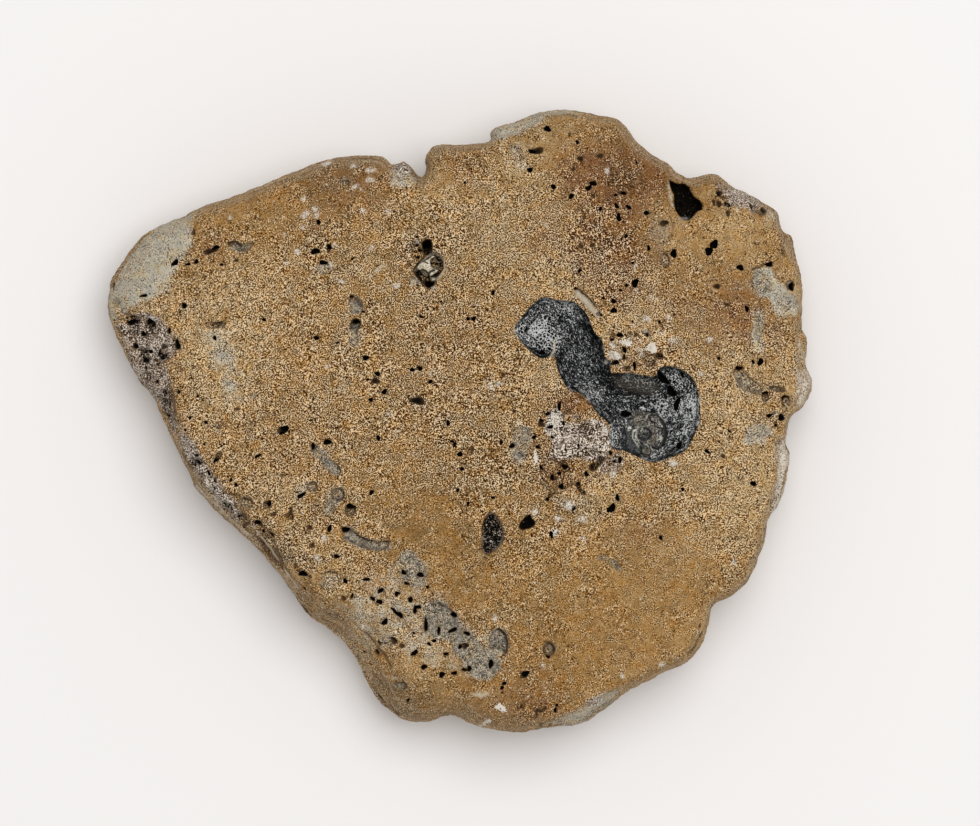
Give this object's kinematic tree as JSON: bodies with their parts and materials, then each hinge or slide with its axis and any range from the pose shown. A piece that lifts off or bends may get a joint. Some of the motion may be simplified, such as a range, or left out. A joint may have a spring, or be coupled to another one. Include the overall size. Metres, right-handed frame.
{
  "type": "ammonite fossil slab",
  "caption": "Flat sea-worn limestone slab, drilled by boring worms, with a small coiled ammonite in a dark hollow of its upper face and a broken cup of shell in a pit.",
  "frame": {"origin": "on the ground plane under the middle of the slab's bounding box", "axes": "+Z out of the upper face that holds the ammonite, +X towards the slab's ragged right end, +Y towards its notched back edge"},
  "size_m": [0.1414, 0.1248, 0.028],
  "materials": {
    "limestone": "matte sandy brown weathered limestone with grey patches and a dark grey hollow",
    "dark_fossil": "dark grey mineral cast, slightly waxy",
    "pale_shell": "chalky off-white shell"
  },
  "bodies": {
    "root": {"stone_slab": "limestone", "ammonite": "dark_fossil", "shell_fragment": "pale_shell"}
  },
  "joints": []
}
